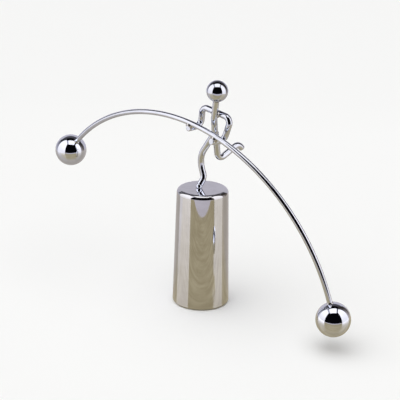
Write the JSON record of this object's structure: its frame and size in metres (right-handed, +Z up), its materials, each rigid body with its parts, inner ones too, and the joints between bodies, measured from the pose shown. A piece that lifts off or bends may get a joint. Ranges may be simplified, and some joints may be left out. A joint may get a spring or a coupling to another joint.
{
  "type": "counterweight balancing toy",
  "caption": "Bent-wire acrobat balancing on tiptoe on a tapered pillar, with a bowed pole and ball weights that hang below the foot so it rocks and spins upright",
  "frame": {"origin": "centre of the base's resting face", "axes": "+Z up along the base's axis, +X towards the lower of the two weights, -Y the way the figure faces"},
  "size_m": [0.1826, 0.035, 0.113],
  "materials": {
    "chrome_plate": "bright chrome plate on steel",
    "plain_steel": "plain ground steel",
    "ballast": "as cast",
    "pad": "matt black rubber"
  },
  "bodies": {
    "base": {"base_shell": "chrome_plate", "base_weight": "ballast", "base_plate": "plain_steel", "base_pad": "pad"},
    "seat": {"pivot_seat": "plain_steel"},
    "foot": {"foot_ball": "plain_steel"},
    "figure": {"body_wire": "chrome_plate", "arm_wire": "chrome_plate", "trailing_leg": "chrome_plate", "head": "chrome_plate", "pole": "chrome_plate", "left_weight": "chrome_plate", "right_weight": "chrome_plate", "head_braze": "chrome_plate", "shoulder_braze": "chrome_plate", "hip_braze": "chrome_plate", "hand_brazes": "chrome_plate", "weight_brazes": "chrome_plate"}
  },
  "joints": [
    {"name": "spin", "type": "hinge", "parent": "base", "child": "seat", "pos_m": [-0.0013, -0.0011, 0.059], "axis": [0, 0, 1], "continuous": true},
    {"name": "rock", "type": "hinge", "parent": "seat", "child": "foot", "pos_m": [-0.0013, -0.0011, 0.059], "axis": [0, 1, 0], "range_deg": [-34, 3]},
    {"name": "pitch", "type": "hinge", "parent": "foot", "child": "figure", "pos_m": [-0.0013, -0.0011, 0.059], "axis": [1, 0, 0], "range_deg": [-25, 25]}
  ]
}
